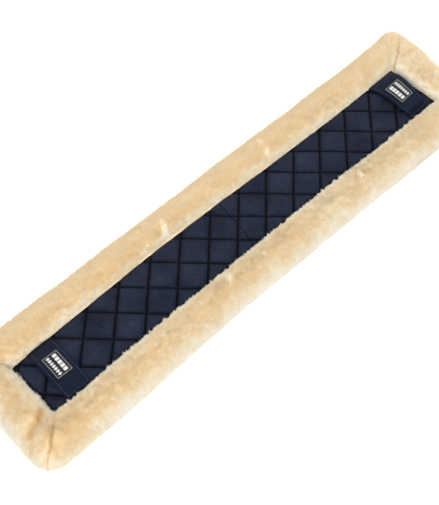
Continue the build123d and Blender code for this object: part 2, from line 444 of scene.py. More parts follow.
MATERIALS = {
    "fleece": pile_material(),
    "fleece_backing": backing_material(),
    "foam": foam_material(),
    "wadding": wadding_material(),
    "lining": navy_material(
        "lining", (0.010, 0.012, 0.022), (0.022, 0.026, 0.044),
        pitch=0.7 * MM, direction=0, roughness=0.8, sheen=0.1),
    "navy_twill": navy_material(
        "navy_twill", (0.0035, 0.0047, 0.0100), (0.0178, 0.0227, 0.0418),
        pitch=0.8 * MM, direction=1.0, roughness=0.5, sheen=0.035, sunken=True),
    "keeper_webbing": navy_material(
        "keeper_webbing", (0.0030, 0.0045, 0.0100), (0.0075, 0.0105, 0.0220),
        pitch=0.95 * MM, direction=-1.6, roughness=0.65, sheen=0.06, sunken=True),
    "navy_thread": thread_material(
        "navy_thread", (0.001, 0.0012, 0.002), (0.003, 0.0035, 0.006), roughness=0.9, specular=0.03),
    "topstitch_thread": thread_material("topstitch_thread", (0.04, 0.047, 0.07), (0.10, 0.11, 0.15)),
    "label_cloth": label_material(),
    "label_thread": thread_material("label_thread", (0.40, 0.40, 0.39), (0.58, 0.58, 0.56), 0.7),
    "label_line": thread_material("label_line", (0.24, 0.24, 0.23), (0.36, 0.36, 0.34), 0.7),
}


def dress(obj, slot, material=None):
    """Give a piece the material named after its slot, or the one named."""
    obj.data.materials.clear()
    obj.data.materials.append(MATERIALS[material or slot])
    return obj


def zone_piece(obj, slot, zone, *layers, fill=None):
    """A piece in its zone, standing for these layers of both segments there."""
    dress(obj, slot)
    first, second = ZONES[zone]["bodies"]
    if layers:
        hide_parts(*[f"{layer}_{body}" for layer in layers for body in (first, second)])
    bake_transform(obj)


def segment_piece(obj, slot, segment, *nodes, material=None):
    """A piece that rides on one segment and stands for these nodes."""
    dress(obj, slot, material)
    if nodes:
        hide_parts(*nodes)
    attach(obj, segment)
    return obj


# ============ fleece skin
# Sections of the skin under the pile: distance out from the panel's edge and height, in millimetres
TOP_SECTION = [
    (0, 26), (1.5, 31), (7, 36), (16, 39.6), (26, 40.6), (36, 38), (44, 32), (48, 25), (49, 18.2),
]
UNDER_SECTION = [(49, 17.8), (47.5, 11.5), (42, 6.5), (34, 4.4), (20, 4), (0, 4)]
SECTION_STEPS = 27
# Heights of the skin's flat middle, under the foam, and of the lowest pile on the lips
DECK = 22.0 * MM
LIP_FOOT = 25.0 * MM
# How far the fleece's lip stands back from the panel's edge, by side, in millimetres
LIP_BACK = {"rear": 4.5, "front": 0.0, "left": 7.0, "right": 1.0}
# How much of that gap the panel fills, tucked under the pile
TUCK = 0.7
# How far each edge of the panel bows outward and how wide its border is, against the place along
# that edge, in millimetres.  The real strip is hand made and none of its edges is quite straight.
BOW = {
    "rear": [(-326, 0), (-240, 3), (-120, 6.5), (0, 5.4), (80, 2.3), (200, 0.5), (280, 0.8), (326, 3.5)],
    "front": [(-326, 3), (-290, 3.5), (-220, 0.7), (120, 0), (200, 3.2), (326, 2.5)],
    "left": [(-38, -3), (0, 0), (38, 3)],
    "right": [(-38, -2), (38, 2.5)],
}
WIDTH_SHARE = {
    "rear": [(-326, 1.0), (326, 1.0)],
    "front": [(-326, 0.86), (-230, 0.85), (-90, 0.76), (60, 0.79), (250, 0.86)],
    "left": [(-38, 0.95), (38, 0.97)],
    "right": [(-38, 0.92), (0, 0.95), (38, 1.12)],
}
# Each corner: how square it is in plan, how far it stretches, and its mitre line as pairs of
# distance out along the diagonal and drift off it towards the strip's end, in millimetres
CORNERS = {
    (-1, -1): (4.4, 1.0, [(0, -0.8), (12, -1.7), (22, -1.4), (30, -0.7), (33, 1.4), (38, 3.6), (46, 8.5)]),
    (1, 1): (9.0, 1.08, [(0, 2.2), (6, 1.0), (17, 5.6), (25, 7.0), (40, 5.4), (55, 1.4)]),
    (-1, 1): (4.8, 1.0, [(0, 0.0), (14, 1.6), (30, -1.2), (48, 0.8)]),
    (1, -1): (4.8, 1.0, [(0, 0.5), (16, -1.8), (32, 1.0), (48, -0.6)]),
}


def with_borders(panel):
    """The panel's places with the border's steps at both ends, and each one's share out, -1 to 1."""
    steps = np.linspace(0, 1, SECTION_STEPS)
    border = np.ones(SECTION_STEPS - 1)
    place = np.concatenate([border * panel[0], panel, border * panel[-1]])
    share = np.concatenate([-steps[:0:-1], np.zeros(len(panel)), steps[1:]])
    return place, share


def strip_columns():
    """Places along the strip, with a column on each cut."""
    return with_borders(np.concatenate([
        np.linspace(-PANEL_X, -CUT_X, 66)[:-1],
        np.linspace(-CUT_X, CUT_X, 54)[:-1],
        np.linspace(CUT_X, PANEL_X, 66),
    ]))


def strip_rows():
    """Places across the strip."""
    return with_borders(np.linspace(-PANEL_Y, PANEL_Y, 19))


def edge_value(table, x, y, end_share):
    """A value from the sides' tables, blended round the corners by how far a place faces its end."""
    def along(side, place):
        at, value = np.array(table[side]).T
        return np.interp(place, at * MM, value)

    ends = np.where(x < 0, along("left", y), along("right", y))
    sides = np.where(y < 0, along("front", x), along("rear", x))
    return ends * end_share + sides * (1 - end_share)


def panel_edge(x, side):
    """How far the panel's front or rear edge is from the centre line."""
    at, bow = np.array(BOW[side]).T * MM
    return PANEL_Y + np.interp(x, at, bow) + TUCK * LIP_BACK[side] * MM


def panel_side(x, y):
    """How far the panel's nearer long edge is from the centre line."""
    return np.where(y < 0, panel_edge(x, "front"), panel_edge(x, "rear"))


def panel_end(x):
    """How far the panel's nearer end is from the middle of the strip."""
    return PANEL_X + TUCK * np.where(x < 0, LIP_BACK["left"], LIP_BACK["right"]) * MM


def skin_grid(section, inner_height):
    """A grid of points over one side of the skin, its share out from the panel, and its outward way."""
    curve = spline(np.array(section) * MM, SECTION_STEPS)
    if section is UNDER_SECTION:
        curve = curve[::-1]
    x0, sx = (a[:, None] for a in strip_columns())
    y0, sy = (a[None, :] for a in strip_rows())
    share = np.maximum(abs(sx), abs(sy))
    safe = np.maximum(share, 1e-9)
    way = np.stack([sx / safe + 0 * sy, sy / safe + 0 * sx], -1)
    power = np.full(share.shape, 4.8)
    stretch = np.ones(share.shape)
    end_share = way[..., 0] ** 4 / np.maximum((way ** 4).sum(-1), 1e-9)
    for (along, across), (squareness, stretched, _) in CORNERS.items():
        here = (sx * along > 0) & (sy * across > 0)
        power[here] = squareness
        stretch[here] = 1 + (stretched - 1) * 4 * (end_share * (1 - end_share))[here]
    rounding = (abs(way) ** power[..., None]).sum(-1) ** (1 / power)
    way = way / np.maximum(rounding, 1e-9)[..., None]
    steps = np.linspace(0, 1, SECTION_STEPS)
    reach = np.interp(share, steps, curve[:, 0])
    reach = reach * stretch * edge_value(WIDTH_SHARE, x0, y0, end_share)
    if section is TOP_SECTION:
        lips = {side: [(at, bow + LIP_BACK[side]) for at, bow in BOW[side]] for side in BOW}
        back = edge_value(lips, x0, y0, end_share) * MM
        reach = reach + back * (1 - smoothstep(0.0, 0.5, share)) * (share > 0)
    height = np.interp(share, steps, curve[:, 1])
    height = np.where(share > 0, height, inner_height)
    points = np.stack([x0 + reach * way[..., 0], y0 + reach * way[..., 1], height], -1)
    return points, share, unit(way)


def grid_normals(points):
    return unit(np.cross(np.gradient(points, axis=0), np.gradient(points, axis=1)))


def beyond_panel(x, y):
    """How far a place is out past the panel's end and past its side."""
    return abs(x) - PANEL_X, abs(y) - PANEL_Y


def mitre_offset(x, y):
    """How far a place lies off the nearest mitre line, in plan, towards the strip's end."""
    out_x, out_y = beyond_panel(x, y)
    offset = (out_x - out_y) / math.sqrt(2)
    for (along, across), (_, _, line) in CORNERS.items():
        out, drift = np.array(line).T * MM
        here = (x * along > 0) & (y * across > 0)
        offset = offset - np.interp((out_x + out_y) / 2, out, drift) * here
    return offset


def mitre_groove(x, y, width):
    """From 0 to 1 near the mitre lines, fading towards their ends."""
    out_x, out_y = beyond_panel(x, y)
    out = (out_x + out_y) / 2
    groove = fade(mitre_offset(x, y), width) * (out_x > 0) * (out_y > 0)
    groove = groove * np.where(x < 0, smoothstep(4 * MM, 13 * MM, out), 1)
    groove = groove * np.where((x < 0) & (y > 0), 0.45, 1)
    return groove * (1 - 0.95 * smoothstep(31 * MM, 43 * MM, out))


def crease(x, y, start, end, width):
    """From 0 to 1 near a straight crease from start to end, in plan."""
    start, end = np.array(start) * MM, np.array(end) * MM
    run = end - start
    t = np.clip(((x - start[0]) * run[0] + (y - start[1]) * run[1]) / (run @ run), 0, 1)
    gap = np.hypot(x - start[0] - t * run[0], y - start[1] - t * run[1])
    return fade(gap, width * MM) * np.sin(math.pi * np.clip(t, 0.03, 0.97)) ** 0.5


# Creases in the pile: start and end in plan in millimetres, width and depth in millimetres
CREASES = [
    ((-332, -26), (-347, -36), 6.5, 2.8),
    ((-341, -33), (-366, -44), 7.5, 3.2),
    ((-348, 3), (-371, -8), 7.0, 0.8),
    ((-362, -50), (-374, -57), 5.0, 1.8),
    ((-350, -62), (-352, -78), 4.0, 1.2),
    ((338, 41), (367, 40), 4.0, 1.6),
    ((340, 8), (358, -3), 4.5, 1.4),
    ((344, -30), (366, -40), 5.0, 2.0),
    ((-72, -40), (-68, -45), 3.0, 1.2),
]

# Wisps where the pile is brushed up and shows its paler side: start, end and width in millimetres
WISPS = [
    ((95, 77), (93, 65), 2.6),
    ((93, 65), (87, 48), 2.4),
    ((-81, 66), (-86, 49), 2.2),
    ((-73, -43), (-78, -56), 2.8),
    ((276, 67), (272, 52), 1.5),
    ((150, -52), (146, -64), 1.4),
]


def wisp(x, y):
    """From 0 to 1 near a wisp."""
    return np.max([crease(x, y, start, end, width) for start, end, width in WISPS], axis=0)


def skin_relief(points, share):
    """How far the skin stands out or sinks, from soft waves, the mitre seams and creases."""
    x, y = points[..., 0], points[..., 1]
    relief = 1.0 * MM * noise(points, 62 * MM, 11) + 0.35 * MM * noise(points, 26 * MM, 12)
    relief += 0.25 * MM * noise(points, 11 * MM, 13)
    rumpled = fade(np.hypot(x + PANEL_X + 22 * MM, y + PANEL_Y + 8 * MM), 34 * MM)
    relief += 1.5 * MM * rumpled * noise(points * (1.6, 0.7, 1), 17 * MM, 15)
    relief -= 2.2 * MM * mitre_groove(x, y, 2.0 * MM) * smoothstep(0.02, 0.2, share)
    for start, end, width, depth in CREASES:
        relief -= depth * MM * crease(x, y, start, end, width)
    return relief * smoothstep(0.0, 0.12, share) * (1 - 0.8 * smoothstep(0.85, 1.0, share))


def folded(x, y):
    """From 0 to 1 where the pile is pressed into a crease or a mitre; it sets how much shorter the pile is
    there and how much painted shade browns it.
    """
    fold = 0.8 * mitre_groove(x, y, 1.5 * MM)
    for start, end, width, depth in CREASES:
        fold = fold + depth / 4.5 * crease(x, y, start, end, 0.8 * width)
    return np.clip(fold, 0, 1)


def make_skin():
    """The skin's top and under grids, moved by the relief, with normals."""
    top, share, way = skin_grid(TOP_SECTION, DECK)
    normals = grid_normals(top)
    top = top + normals * skin_relief(top, share)[..., None]
    under, _, _ = skin_grid(UNDER_SECTION, UNDER_SECTION[-1][1] * MM)
    sides = -grid_normals(under)
    wave = 0.8 * MM * noise(under, 40 * MM, 14) * smoothstep(0.55, 0.75, share)
    wave *= 1 - smoothstep(0.85, 1.0, share)
    under = under + sides * wave[..., None]
    return {
        "share": share, "way": way, "top": top, "top_normals": grid_normals(top),
        "under": under, "under_normals": -grid_normals(under),
    }


def zone_columns(zone):
    """The skin's columns in a zone, both cuts included."""
    place, _ = strip_columns()
    low, high = ZONES[zone]["span"]
    return np.flatnonzero((place >= low - CUT_SLACK) & (place <= high + CUT_SLACK))


def vertex_places(obj):
    places = np.empty(3 * len(obj.data.vertices), np.float32)
    obj.data.vertices.foreach_get("co", places)
    return places.reshape(-1, 3).astype(float)


def point_values(obj, **values):
    """Store named values on the mesh's points, for its material."""
    for name, value in values.items():
        attribute = obj.data.attributes.new(name, "FLOAT", "POINT")
        value = np.broadcast_to(value, len(obj.data.vertices))
        attribute.data.foreach_set("value", value.astype(np.float32))


# Larger patches where the pile is paler or, below zero, more honey: place, radius in mm and change
PATCHES = [
    ((-338, -70), 26, -0.55),
    ((-160, 66), 30, -0.35),
    ((80, 66), 26, -0.25),
    ((262, 66), 30, -0.25),
    ((-225, 50), 24, 0.30),
    ((-350, -40), 14, 0.30),
    ((85, -50), 24, 0.30),
    ((-220, -50), 20, 0.20),
    ((350, 30), 26, 0.12),
]


def patches(x, y):
    total = np.zeros(np.shape(x))
    for (px, py), radius, change in PATCHES:
        total += change * np.exp(-((x - px * MM) ** 2 + (y - py * MM) ** 2) / (radius * MM) ** 2)
    return total


def paleness(points, share):
    """From 0 for honey to 1 for cream: the pile's own clouds, flecks, patches and paler wisps where it lies
    another way, paler towards the ends, with painted light and shade on top: a painted sheen on the outer
    rim, painted light on the lips, and painted shade beyond the lips, on the rear roll's outer half, and in
    creases and mitres.
    """
    clouds = 0.45 + 0.75 * noise(points, 40 * MM, 71) + 0.5 * noise(points * (1, 0.5, 1), 14 * MM, 72)
    x, y = points[:, :2].T
    flecks = 0.12 * noise(points, 8 * MM, 73) + 0.24 * noise(points, 4 * MM, 74)
    flecks += 0.26 * noise(points, 2.4 * MM, 75)
    far = smoothstep(5 * MM, PANEL_Y + 8 * MM, y)
    # Painted sheen: the outer rim is paler, less so on the rear roll.
    rim = (0.8 - 0.3 * far) * smoothstep(0.56 + 0.19 * far, 0.95, share)
    # Painted light: the lips are paler, the front one most, standing in for the light that the leaning pile
    # shuts out there.
    lip = (0.85 - 0.35 * far) * (1 - smoothstep(0.04, 0.3, share))
    ends = smoothstep(PANEL_X - 10 * MM, PANEL_X + 20 * MM, abs(x))
    pale = 0.07 + 0.24 * clouds + flecks + rim + lip + 0.16 * ends + 0.8 * wisp(x, y)
    # Painted shade: darker beyond the lips, and darker again on the rear roll from its crest outward.
    pale -= 0.16 * smoothstep(0.1, 0.3, share) + 0.14 * far * smoothstep(0.3, 0.5, share)
    return np.clip(pale + patches(x, y) - 0.25 * folded(x, y), -0.25, 1)


def build_skin(skin):
    for zone in ZONES:
        columns = zone_columns(zone)
        obj = solid_between(f"fleece_skin_{zone}", skin["top"][columns], skin["under"][columns])
        flat = vertex_places(obj)
        top_share = skin["share"][columns].ravel()
        share = np.full(len(flat), 0.8)
        share[:len(top_share)] = top_share
        bare = 0.25 * (1 - smoothstep(0.04, 0.16, share))
        # The skin lies deep in the pile and takes part of the roots' painted shade.
        point_values(obj, pile_depth=0.45 - bare, paleness=paleness(flat, share) - bare, folded=0.0)
        if zone != "centre":
            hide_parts(f"fleece_roll_end_{zone}_end")
        layers = ("fleece_roll_front", "fleece_roll_rear", "fleece_underside")
        zone_piece(obj, "fleece", zone, *layers, fill=0.7)


# ============ pile
def scatter(points, normals, share, way, density, rng):
    """Random places on the quads of a grid, with `density` of them to the square millimetre."""
    diagonals = points[1:, 1:] - points[:-1, :-1], points[:-1, 1:] - points[1:, :-1]
    area = np.linalg.norm(np.cross(*diagonals), axis=-1) / 2
    expected = density * area / MM ** 2
    picked = rng.choice(area.size, size=int(expected.sum()), p=(expected / expected.sum()).ravel())
    i, j = np.unravel_index(picked, area.shape)
    u, v = rng.random((2, len(picked)))

    def at(grid):
        shape = (-1,) + (1,) * (grid.ndim - 2)
        a, b = u.reshape(shape), v.reshape(shape)
        low = grid[i, j] * (1 - a) + grid[i + 1, j] * a
        high = grid[i, j + 1] * (1 - a) + grid[i + 1, j + 1] * a
        return low * (1 - b) + high * b

    return at(points), unit(at(normals)), at(share), unit(at(way))


def overhang(way, share):
    """From 0 to 1 towards the lips whose pile hangs over the panel: the front and left ones."""
    faces = (way[..., 1] < -0.7) | (way[..., 0] < -0.7)
    return faces * (1 - smoothstep(0.02, 0.42, share))


def flow(points):
    """Slow drift of the pile, the way a hand has brushed it."""
    drift = [noise(points, 34 * MM, 21 + i) + 0.6 * noise(points, 15 * MM, 24 + i) for i in (0, 1)]
    return np.stack([*drift, 0.5 * noise(points, 34 * MM, 23)], -1)


def clump_pull(points, size, seed):
    """The way towards the middle of the nearest clump: uphill on fine noise."""
    step = 0.2 * size
    base = noise(points, size, seed)
    pull = [noise(points + step * np.eye(3)[k], size, seed) - base for k in range(3)]
    return np.stack(pull, -1)


def hairs(name, roots, normals, leans, lengths, widths, share, rng):
    """Tapered three-sided hairs, closed at the root, each leaning its own way."""
    directions = unit(normals + leans)
    tips = roots + directions * lengths[:, None]
    side = unit(np.cross(directions, rng.normal(size=roots.shape)))
    other = np.cross(directions, side)
    angles = (2 * math.pi * np.arange(3) / 3)[:, None]
    spokes = np.cos(angles) * side[:, None] + np.sin(angles) * other[:, None]
    ring = (roots - directions * ROOT_SINK)[:, None] + widths[:, None, None] * spokes
    verts = np.concatenate([ring, tips[:, None]], 1)
    obj = copies(name, verts, [(0, 1, 3), (1, 2, 3), (2, 0, 3), (0, 2, 1)])
    depth = np.tile([0.0, 0.0, 0.0, 1.0], (len(roots), 1))
    near = smoothstep(0, -PANEL_Y, roots[:, 1])
    # Less of the roots' painted shade towards the lips, over a wider band on the front one: painted light
    # on the lips.
    depth[:, :3] += 0.6 * (1 - smoothstep(0.2 + 0.2 * near, 0.45 + 0.3 * near, share))[:, None]
    point_values(
        obj,
        pile_depth=depth.ravel(),
        paleness=np.repeat(paleness(roots, share), 4),
        folded=np.repeat(folded(roots[:, 0], roots[:, 1]), 4),
    )
    outward = unit(verts - (roots - 2 * MM * directions)[:, None])
    tuft = clump_pull(roots, 5 * MM, 33)
    shading = unit((0.8 * normals + 0.25 * tuft)[:, None] + 0.25 * outward)
    obj.data.normals_split_custom_set_from_vertices(shading.reshape(-1, 3))
    unfold_hairs(obj, verts)
    return obj


def unfold_hairs(obj, verts):
    """A map for textures on the hairs: each lies at its own place in plan."""
    flat = verts.reshape(-1, 3)
    low, high = flat.min(0), flat.max(0)
    places = (flat[:, :2] - low[:2]) / (high[:2] - low[:2])
    layer = obj.data.uv_layers.new(name="OFBake")
    corners = np.empty(len(obj.data.loops), np.int32)
    obj.data.loops.foreach_get("vertex_index", corners)
    layer.data.foreach_set("uv", (0.01 + 0.98 * places[corners]).astype(np.float32).ravel())


def pile_leans(points, share, way):
    """How far each hair leans from upright, on the top and round the edge."""
    outward = np.concatenate([way, np.zeros((len(way), 1))], -1)
    over = overhang(way, share)
    lip = 1 - smoothstep(0.02, 0.3, share)
    outflow = 0.55 * smoothstep(0.25, 0.95, share)
    lean = outward * (outflow + 0.12 * lip - 0.3 * over ** 2)[:, None]
    lean *= 1 - 0.8 * smoothstep(0.75, 1.0, share)[:, None]
    lean[:, 2] -= 0.45 * smoothstep(0.5, 1.0, share)
    lean += 0.09 * flow(points)
    lean += (0.5 + 0.3 * over)[:, None] * clump_pull(points, 4.5 * MM, 31)
    lean += (0.12 + 0.25 * over)[:, None] * clump_pull(points, 10 * MM, 32)
    x, y = points[:, :2].T
    lean[:, 0] += 0.8 * wisp(x, y)
    sign = np.sign(mitre_offset(x, y))
    away = np.stack([np.sign(x) * sign, -np.sign(y) * sign, 0 * x], -1) / math.sqrt(2)
    return lean + 0.3 * mitre_groove(x, y, 3 * MM)[:, None] * away


def cell_middles(grid):
    return (grid[:-1, :-1] + grid[1:, 1:]) / 2


def border_pile(zone, side, part, density, rng):
    """The pile on one side's roll: on its top and round its edge."""
    found = scatter(part["top"], part["top_normals"], part["share"], part["way"], density, rng)
    roots, _, share, _ = found
    outside = edge_distance(roots[:, 0], roots[:, 1]) < -0.4 * MM
    free = outside & ((roots[:, 2] > LIP_FOOT) | (share > 0.5))
    roots, normals, share, way = (values[free] for values in found)
    count = len(roots)
    lengths = PILE_LENGTH * (0.6 + 0.4 * smoothstep(0.0, 0.35, share))
    tufts = 0.1 + 0.4 * overhang(way, share)
    lengths *= rng.uniform(0.84, 1.06, count) * (1 + tufts * noise(roots, 3.0 * MM, 41))
    lengths *= 1 - 0.4 * folded(roots[:, 0], roots[:, 1])
    widths = rng.uniform(0.34, 0.55, count) * MM
    leans = pile_leans(roots, share, way) + rng.normal(0, 0.1, (count, 3))
    obj = hairs(f"fleece_pile_{side}_{zone}", roots, normals, leans, lengths, widths, share, rng)
    zone_piece(obj, "fleece", zone)


def under_pile(zone, part, rng):
    """The pile on the under side, kept clear of the floor."""
    density = UNDER_PILE_PER_MM2 * (1 + 2 * smoothstep(0.78, 0.95, cell_middles(part["share"])))
    roots, normals, share, way = scatter(
        part["under"], part["under_normals"], part["share"], part["way"], density, rng)
    count = len(roots)
    rim = smoothstep(0.78, 0.95, share)
    bottom = np.clip(-normals[:, 2], 0, 1)
    spread = (0.15 + 1.1 * bottom) * smoothstep(0.2, 0.8, share)
    leans = np.concatenate([way * spread[:, None], (0.85 * bottom - 0.45)[:, None]], -1)
    wander = (0.25 + 0.9 * bottom)[:, None]
    leans += wander * (1.3 * flow(roots) + rng.normal(0, 0.4, (count, 3))) * (1, 1, 0.2)
    lengths = PILE_LENGTH * rng.uniform(0.75, 1.05, count)
    drop = np.maximum(-unit(normals + leans)[:, 2], 1e-3)
    lengths = np.minimum(lengths, (roots[:, 2] - FLOOR_GAP) / drop)
    widths = rng.uniform(0.6, 0.95, count) * (1 - 0.4 * rim) * MM
    obj = hairs(f"fleece_pile_under_{zone}", roots, normals, leans, lengths, widths, share, rng)
    zone_piece(obj, "fleece", zone)


def build_pile(skin):
    for index, zone in enumerate(ZONES):
        columns = zone_columns(zone)
        part = {key: value[columns] for key, value in skin.items()}
        way, share = cell_middles(part["way"]), cell_middles(part["share"])
        density = PILE_PER_MM2 * (1 + 0.8 * overhang(way, share))
        at_end = abs(way[..., 0]) > abs(way[..., 1])
        rng = np.random.default_rng(100 + index)
        for side, chosen in (
            ("front", ~at_end & (way[..., 1] < 0)),
            ("rear", ~at_end & (way[..., 1] > 0)),
            ("end", at_end),
        ):
            chosen = chosen & (share > 0)
            if chosen.any():
                border_pile(zone, side, part, density * chosen, rng)
        under_pile(zone, part, rng)


# ============ quilted panel
def quilt_warp(x, y):
    """A small drift that keeps the quilting lines from being ruler straight."""
    return 0.9 * MM * plan_noise(x, y, 45 * MM, 51), 0.9 * MM * plan_noise(x, y, 45 * MM, 52)


def quilt_squares(x, y):
    """Counts of squares along the two diagonals."""
    wx, wy = quilt_warp(x, y)
    u, v = x + wx, y + wy - QUILT_ROW
    return (u + v) / math.sqrt(2) / QUILT_SQUARE, (u - v) / math.sqrt(2) / QUILT_SQUARE


def line_gaps(squares):
    """How far a place is from the nearest quilting line along each diagonal."""
    return [abs(count - np.round(count)) * QUILT_SQUARE for count in squares]


def quilt_height(x, y):
    """Height of the panel's face: puffed squares between sunken diagonal lines."""
    a, b = quilt_squares(x, y)
    to_a, to_b = line_gaps((a, b))
    rise = (1 - np.exp(-to_a / GROOVE_WIDTH)) * (1 - np.exp(-to_b / GROOVE_WIDTH))
    crown = abs(np.sin(math.pi * a) * np.sin(math.pi * b)) ** 0.8
    size = 1 + 0.12 * plan_noise(x, y, 40 * MM, 53)
    height = GROOVE_FLOOR + PUFF * size * (0.72 * rise + 0.28 * crown)
    gap = np.minimum(to_a, to_b)
    pucker = np.sin(2 * math.pi * (a + b) * PUCKERS_PER_SQUARE) * np.exp(-gap / (3.2 * MM))
    height += 0.16 * MM * pucker + 0.2 * MM * plan_noise(x, y, 7 * MM, 54)
    height -= 1.1 * MM * np.exp(-abs(x - seam_x(y)) / (1.6 * MM))
    pinch = 1 - smoothstep(0.0, 6 * MM, edge_distance(x, y))
    return height * (1 - pinch) + (GROOVE_FLOOR - 0.6 * MM) * pinch


def edge_distance(x, y):
    """How far a place on the panel is from the panel's nearest edge."""
    return np.minimum(panel_side(x, y) - abs(y), panel_end(x) - abs(x))


def seam_x(y):
    """The centre seam's place along the strip: a slanting, slightly bowed line."""
    t = (y / PANEL_Y + 1) / 2
    return SEAM_FOOT_X + (SEAM_TOP_X - SEAM_FOOT_X) * t + 1.6 * MM * np.sin(math.pi * t)


def panel_grid(zone, step, inset=0.0):
    """A grid over the panel's part of a zone, with a vertex row on each cut."""
    low, high = ZONES[zone]["span"]
    low, high = max(low, inset - panel_end(-1)), min(high, panel_end(1) - inset)
    x = np.linspace(low, high, int((high - low) / step) + 2)
    x, y = plan_grid(x, np.linspace(-1, 1, int(2 * PANEL_Y / step) + 2))
    return x, y * (panel_side(x, y) - inset)


def layer_solid(name, x, y, *heights):
    """A closed layer over a plan grid, between the heights of its top and its bottom."""
    return solid_between(name, *(np.stack(np.broadcast_arrays(x, y, z), -1) for z in heights))


def painted_shade_share(x, y):
    """From 0 to 1 where painted shade darkens the face: in the quilting lines, in a painted shadow of the
    fleece's lip along the panel's rim, and in the centre seam.
    """
    gap = np.min(line_gaps(quilt_squares(x, y)), axis=0)
    groove = 0.8 * fade(gap, 1.6 * MM) + 0.2 * fade(gap, 4.5 * MM)
    start, end = np.where(y < 0, 3, 2.5) * MM, np.where(y < 0, 9, 6) * MM
    rim = 1.2 * (1 - smoothstep(start, end, edge_distance(x, y)))
    seam = 0.7 * fade(abs(x - seam_x(y)), 0.8 * MM)
    return np.max([groove, 0.7 * rim, seam], axis=0).ravel()


def build_face(zone, cloth):
    x, y = panel_grid(zone, 0.9 * MM)
    height = quilt_height(x, y)
    obj = layer_solid(f"quilt_face_{zone}", x, y, height, height - cloth)
    sunken = np.zeros(len(obj.data.vertices))
    sunken[:x.size] = painted_shade_share(x, y)
    point_values(obj, sunken=sunken)
    zone_piece(obj, "navy_twill", zone, "quilt_face", fill=0.45)


def build_wadding(zone, cloth, bottom):
    """The wadding, kept below the lowest of the face's heights round each place."""
    x, y = panel_grid(zone, 2.5 * MM, LAYER_INSET)
    steps = np.array([-2.2, 0, 2.2]) * MM
    height = np.min([quilt_height(x + i, y + j) for i in steps for j in steps], axis=0) - cloth - 0.3 * MM
    obj = layer_solid(f"quilt_wadding_{zone}", x, y, height, bottom)
    zone_piece(obj, "wadding", zone, "quilt_wadding", fill=0.5)


def build_lining(zone, top, bottom):
    x, y = panel_grid(zone, 6 * MM, LAYER_INSET)
    obj = layer_solid(f"quilt_lining_{zone}", x, y, top, bottom)
    zone_piece(obj, "lining", zone, "quilt_lining")


def build_foam(zone, low, high, top):
    x = np.linspace(low, high, int((high - low) / (6 * MM)) + 2)
    x, y = plan_grid(x, np.linspace(-PANEL_Y + FOAM_INSET, PANEL_Y - FOAM_INSET, 14))
    obj = layer_solid(f"core_foam_{zone}", x, y, top, DECK + 0.2 * MM)
    zone_piece(obj, "foam", zone, "core_foam", fill=0.8)


def build_panel():
    lining_low, lining_high = (corner.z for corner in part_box("quilt_lining_left_mid"))
    face_low, face_high = (corner.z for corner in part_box("quilt_face_left_mid"))
    foam_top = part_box("core_foam_left_end")[1].z
    cloth = face_high - face_low
    for zone in ZONES:
        low, high = ZONES[zone]["span"]
        low, high = max(low, -PANEL_X + FOAM_INSET), min(high, PANEL_X - FOAM_INSET)
        build_face(zone, cloth)
        build_wadding(zone, cloth, lining_high + LAYER_GAP)
        build_lining(zone, lining_high, lining_low + LAYER_GAP)
        build_foam(zone, low, high, foam_top - LAYER_GAP)


def on_panel(x, y):
    return np.stack([x, y, quilt_height(x, y)], -1)


def surface_stitches(name, rows, size, lift, surface=on_panel):
    """Stitches that lie on a surface; their length, width and height are in millimetres."""
    x, y, dx, dy = rows.T
    reach = 0.8 * MM
    ahead = surface(x + dx * reach, y + dy * reach)
    behind = surface(x - dx * reach, y - dy * reach)
    left = surface(x - dy * reach, y + dx * reach)
    right = surface(x + dy * reach, y - dx * reach)
    along = ahead - behind
    ups = unit(np.cross(along, left - right))
    return stitches(name, surface(x, y) + ups * lift, along, ups, np.array(size) * MM)


def places_along(x, y, dx, dy):
    """Rows of a stitch's place and direction."""
    return np.stack(np.broadcast_arrays(x, y, dx, dy), -1)


def quilting_places(pitch):
    """Places and directions of the quilting stitches over the whole panel."""
    found = []
    diagonal = QUILT_SQUARE * math.sqrt(2)
    reach = PANEL_Y * math.sqrt(2) * 1.6
    t = np.arange(-reach, reach, pitch)
    for number in range(-int(PANEL_X / diagonal) - 3, int(PANEL_X / diagonal) + 4):
        for slope in (1, -1):
            x = number * diagonal + t / math.sqrt(2)
            y = QUILT_ROW + slope * t / math.sqrt(2)
            wx, wy = quilt_warp(x, y)
            x, y = x - wx, y - wy
            inside = edge_distance(x, y) > 2.5 * MM
            found.append(places_along(x, y, 1 / math.sqrt(2), slope / math.sqrt(2))[inside])
    return np.vstack(found)


def edge_places(inset, pitch):
    """Places and directions of a running seam round the panel."""
    far_y = PANEL_Y - 4 * MM
    x = np.arange(inset - panel_end(-1), panel_end(1) - inset, pitch)
    y = np.arange(-far_y + pitch, far_y, pitch)
    rows = [places_along(x, side * (panel_side(x, side) - inset), 1, 0) for side in (-1, 1)]
    rows += [places_along(side * (panel_end(side) - inset), y, 0, 1) for side in (-1, 1)]
    return np.vstack(rows)


def build_panel_stitching():
    quilting, edging = quilting_places(3.0 * MM), edge_places(1.8 * MM, 3.4 * MM)
    for zone in ZONES:
        for rows, name, size in (
            (quilting, "quilting_thread", (2.5, 0.62, 0.34)),
            (edging, "edge_stitching", (2.6, 0.6, 0.34)),
        ):
            obj = surface_stitches(f"{name}_{zone}", rows[in_zone(rows[:, 0], zone)], size, 0.12 * MM)
            zone_piece(obj, "navy_thread", zone, name)
    y = np.arange(-PANEL_Y + 4 * MM, PANEL_Y - 3 * MM, 4.2 * MM)
    slope = (seam_x(y + MM) - seam_x(y - MM)) / (2 * MM)
    length = np.hypot(slope, 1)
    rows = places_along(seam_x(y), y, slope / length, 1 / length)
    obj = surface_stitches("centre_seam", rows, (2.9, 0.6, 0.34), 0.15 * MM)
    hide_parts("centre_seam_stitches")
    zone_piece(obj, "navy_thread", "centre")


